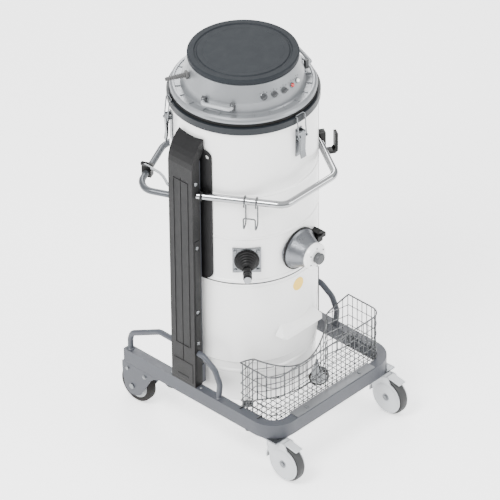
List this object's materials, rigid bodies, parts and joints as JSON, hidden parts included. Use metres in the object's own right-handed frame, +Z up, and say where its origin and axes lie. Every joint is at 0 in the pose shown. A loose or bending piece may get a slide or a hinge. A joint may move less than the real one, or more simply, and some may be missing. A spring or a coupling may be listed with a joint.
{
  "type": "industrial vacuum cleaner",
  "caption": "Wheeled industrial shop vacuum with an upright drum, drop-down dust container, tool basket, clamped suction head and push handle.",
  "frame": {"origin": "middle of the footprint at floor level", "axes": "+Z up, -Y towards the front with the tool basket, -X towards the side with the release lever"},
  "size_m": [0.595, 0.734, 1.2595],
  "materials": {
    "frame_paint": "satin slate grey powder coat",
    "drum_paint": "gloss off-white",
    "head_paint": "satin aluminium grey",
    "light_panel": "satin light grey",
    "cast_alu": "fine cast, satin",
    "motor_metal": "cast",
    "zinc": "bright zinc plating",
    "wire": "plated wire",
    "chrome_tube": "polished",
    "grey_tube": "satin grey",
    "lid_plastic": "fine grained",
    "dark_ring": "satin dark grey",
    "column_plastic": "fine grained",
    "black_plastic": "moulded",
    "grey_plastic": "moulded",
    "castor_plastic": "moulded",
    "gland_plastic": "moulded",
    "red_lens": "clear gloss",
    "tyre_rubber": "worn tread",
    "black_rubber": "matt",
    "filter_cloth": "needle felt"
  },
  "bodies": {
    "chassis": {"frame_tube": "frame_paint", "rear_brackets": "frame_paint", "rear_axles": "zinc", "castor_plates": "zinc", "basket_shelf": "light_panel", "basket": "wire", "column_covers": "column_plastic", "column_posts": "frame_paint", "saddle_plates": "column_plastic", "button_screws": "zinc", "side_arches": "frame_paint", "front_rail": "chrome_tube", "push_handle": "grey_tube", "lever_bracket": "black_plastic", "cable_holder": "black_plastic", "filter_chamber": "drum_paint", "chamber_seal": "black_rubber", "top_ring": "dark_ring", "filter_star": "filter_cloth", "inlet_cone": "cast_alu", "inlet_clamp": "black_plastic", "shaker_plate": "zinc", "shaker_bellows": "black_rubber", "head_shell": "head_paint", "head_lid": "lid_plastic", "head_grips": "light_panel", "pilot_lamps": "red_lens", "cable_gland": "gland_plastic", "vacuum_motors": "motor_metal", "latch_bases": "zinc"},
    "inlet_cap": {"inlet_cap": "drum_paint"},
    "shaker_knob": {"shaker_knob": "black_plastic"},
    "accessory_hook": {"accessory_hook": "wire"},
    "release_lever": {"release_lever": "light_panel"},
    "container": {"container": "drum_paint"},
    "switch_1": {"switch_1": "grey_plastic"},
    "latch_lever_1": {"latch_lever_1": "zinc"},
    "latch_bail_1": {"latch_bail_1": "zinc"},
    "switch_2": {"switch_2": "grey_plastic"},
    "latch_lever_2": {"latch_lever_2": "zinc"},
    "latch_bail_2": {"latch_bail_2": "zinc"},
    "switch_3": {"switch_3": "grey_plastic"},
    "latch_lever_3": {"latch_lever_3": "zinc"},
    "latch_bail_3": {"latch_bail_3": "zinc"},
    "rear_wheel_left": {"rear_wheel_left": "tyre_rubber"},
    "castor_fork_left": {"castor_fork_left": "castor_plastic"},
    "castor_wheel_left": {"castor_wheel_left": "tyre_rubber"},
    "castor_brake_left": {"castor_brake_left": "castor_plastic"},
    "rear_wheel_right": {"rear_wheel_right": "tyre_rubber"},
    "castor_fork_right": {"castor_fork_right": "castor_plastic"},
    "castor_wheel_right": {"castor_wheel_right": "tyre_rubber"},
    "castor_brake_right": {"castor_brake_right": "castor_plastic"},
    "container_fork_1": {"container_fork_1": "zinc"},
    "container_wheel_1": {"container_wheel_1": "tyre_rubber"},
    "container_fork_2": {"container_fork_2": "zinc"},
    "container_wheel_2": {"container_wheel_2": "tyre_rubber"},
    "container_fork_3": {"container_fork_3": "zinc"},
    "container_wheel_3": {"container_wheel_3": "tyre_rubber"},
    "container_fork_4": {"container_fork_4": "zinc"},
    "container_wheel_4": {"container_wheel_4": "tyre_rubber"}
  },
  "joints": [
    {"name": "container_lift", "type": "slide", "parent": "chassis", "child": "container", "axis": [0, 0, 1], "range_m": [-0.025, 0]},
    {"name": "release_lever_lift", "type": "hinge", "parent": "chassis", "child": "release_lever", "pos_m": [-0.238, 0.13875, 0.851], "axis": [1, 0, 0], "range_deg": [0, 45]},
    {"name": "inlet_cap_pull", "type": "slide", "parent": "chassis", "child": "inlet_cap", "axis": [0, -1, 0], "range_m": [0, 0.06]},
    {"name": "shaker_pull", "type": "slide", "parent": "chassis", "child": "shaker_knob", "axis": [-0.7071, -0.7071, 0], "range_m": [0, 0.03], "stiffness_N_per_m": 300},
    {"name": "accessory_hook_swing", "type": "hinge", "parent": "chassis", "child": "accessory_hook", "pos_m": [-0.16487, -0.10614, 0.884], "axis": [-0.5243, 0.8515, 0], "range_deg": [0, 50]},
    {"name": "switch_1_turn", "type": "hinge", "parent": "chassis", "child": "switch_1", "pos_m": [-0.07898, -0.08165, 1.202], "axis": [-0.4293, -0.8611, 0.2723], "range_deg": [-45, 45]},
    {"name": "switch_2_turn", "type": "hinge", "parent": "chassis", "child": "switch_2", "pos_m": [-0.0473, -0.09381, 1.202], "axis": [-0.2571, -0.9272, 0.2723], "range_deg": [-45, 45]},
    {"name": "switch_3_turn", "type": "hinge", "parent": "chassis", "child": "switch_3", "pos_m": [-0.01235, -0.09982, 1.202], "axis": [-0.0671, -0.9599, 0.2723], "range_deg": [-45, 45]},
    {"name": "latch_lever_1_open", "type": "hinge", "parent": "chassis", "child": "latch_lever_1", "pos_m": [0, -0.15725, 1.072], "axis": [-1, 0, 0], "range_deg": [0, 95]},
    {"name": "latch_bail_1_swing", "type": "hinge", "parent": "latch_lever_1", "child": "latch_bail_1", "pos_m": [0, -0.16325, 1.06], "axis": [-1, 0, 0], "range_deg": [-130, 0]},
    {"name": "latch_lever_2_open", "type": "hinge", "parent": "chassis", "child": "latch_lever_2", "pos_m": [-0.20265, 0.19375, 1.072], "axis": [0.5, 0.866, 0], "range_deg": [0, 95]},
    {"name": "latch_bail_2_swing", "type": "hinge", "parent": "latch_lever_2", "child": "latch_bail_2", "pos_m": [-0.20785, 0.19675, 1.06], "axis": [0.5, 0.866, 0], "range_deg": [-130, 0]},
    {"name": "latch_lever_3_open", "type": "hinge", "parent": "chassis", "child": "latch_lever_3", "pos_m": [0.20265, 0.19375, 1.072], "axis": [0.5, -0.866, 0], "range_deg": [0, 95]},
    {"name": "latch_bail_3_swing", "type": "hinge", "parent": "latch_lever_3", "child": "latch_bail_3", "pos_m": [0.20785, 0.19675, 1.06], "axis": [0.5, -0.866, 0], "range_deg": [-130, 0]},
    {"name": "rear_wheel_left_spin", "type": "hinge", "parent": "chassis", "child": "rear_wheel_left", "pos_m": [-0.246, 0.29875, 0.0625], "axis": [1, 0, 0], "continuous": true},
    {"name": "castor_left_swivel", "type": "hinge", "parent": "chassis", "child": "castor_fork_left", "pos_m": [-0.23, -0.27225, 0.12], "axis": [0, 0, 1], "continuous": true},
    {"name": "castor_left_spin", "type": "hinge", "parent": "castor_fork_left", "child": "castor_wheel_left", "pos_m": [-0.23, -0.31025, 0.0625], "axis": [1, 0, 0], "continuous": true},
    {"name": "castor_left_brake", "type": "hinge", "parent": "castor_fork_left", "child": "castor_brake_left", "pos_m": [-0.23, -0.31025, 0.1305], "axis": [1, 0, 0], "range_deg": [0, 7]},
    {"name": "rear_wheel_right_spin", "type": "hinge", "parent": "chassis", "child": "rear_wheel_right", "pos_m": [0.246, 0.29875, 0.0625], "axis": [1, 0, 0], "continuous": true},
    {"name": "castor_right_swivel", "type": "hinge", "parent": "chassis", "child": "castor_fork_right", "pos_m": [0.23, -0.27225, 0.12], "axis": [0, 0, 1], "continuous": true},
    {"name": "castor_right_spin", "type": "hinge", "parent": "castor_fork_right", "child": "castor_wheel_right", "pos_m": [0.23, -0.31025, 0.0625], "axis": [1, 0, 0], "continuous": true},
    {"name": "castor_right_brake", "type": "hinge", "parent": "castor_fork_right", "child": "castor_brake_right", "pos_m": [0.23, -0.31025, 0.1305], "axis": [1, 0, 0], "range_deg": [0, 7]},
    {"name": "container_castor_1_swivel", "type": "hinge", "parent": "container", "child": "container_fork_1", "pos_m": [-0.13576, -0.05901, 0.112], "axis": [0, 0, 1], "continuous": true},
    {"name": "container_castor_1_spin", "type": "hinge", "parent": "container_fork_1", "child": "container_wheel_1", "pos_m": [-0.15698, -0.08023, 0.0575], "axis": [0.7071, -0.7071, 0], "continuous": true},
    {"name": "container_castor_2_swivel", "type": "hinge", "parent": "container", "child": "container_fork_2", "pos_m": [0.13576, -0.05901, 0.112], "axis": [0, 0, 1], "continuous": true},
    {"name": "container_castor_2_spin", "type": "hinge", "parent": "container_fork_2", "child": "container_wheel_2", "pos_m": [0.15698, -0.08023, 0.0575], "axis": [0.7071, 0.7071, 0], "continuous": true},
    {"name": "container_castor_3_swivel", "type": "hinge", "parent": "container", "child": "container_fork_3", "pos_m": [0.13576, 0.21251, 0.112], "axis": [0, 0, 1], "continuous": true},
    {"name": "container_castor_3_spin", "type": "hinge", "parent": "container_fork_3", "child": "container_wheel_3", "pos_m": [0.15698, 0.23373, 0.0575], "axis": [-0.7071, 0.7071, 0], "continuous": true},
    {"name": "container_castor_4_swivel", "type": "hinge", "parent": "container", "child": "container_fork_4", "pos_m": [-0.13576, 0.21251, 0.112], "axis": [0, 0, 1], "continuous": true},
    {"name": "container_castor_4_spin", "type": "hinge", "parent": "container_fork_4", "child": "container_wheel_4", "pos_m": [-0.15698, 0.23373, 0.0575], "axis": [-0.7071, -0.7071, 0], "continuous": true}
  ],
  "couplings": [
    {"joint": "release_lever_lift", "follows": "container_lift", "rad_per_m": -31},
    {"joint": "latch_bail_1_swing", "follows": "latch_lever_1_open", "ratio": -1.3},
    {"joint": "latch_bail_2_swing", "follows": "latch_lever_2_open", "ratio": -1.3},
    {"joint": "latch_bail_3_swing", "follows": "latch_lever_3_open", "ratio": -1.3}
  ]
}
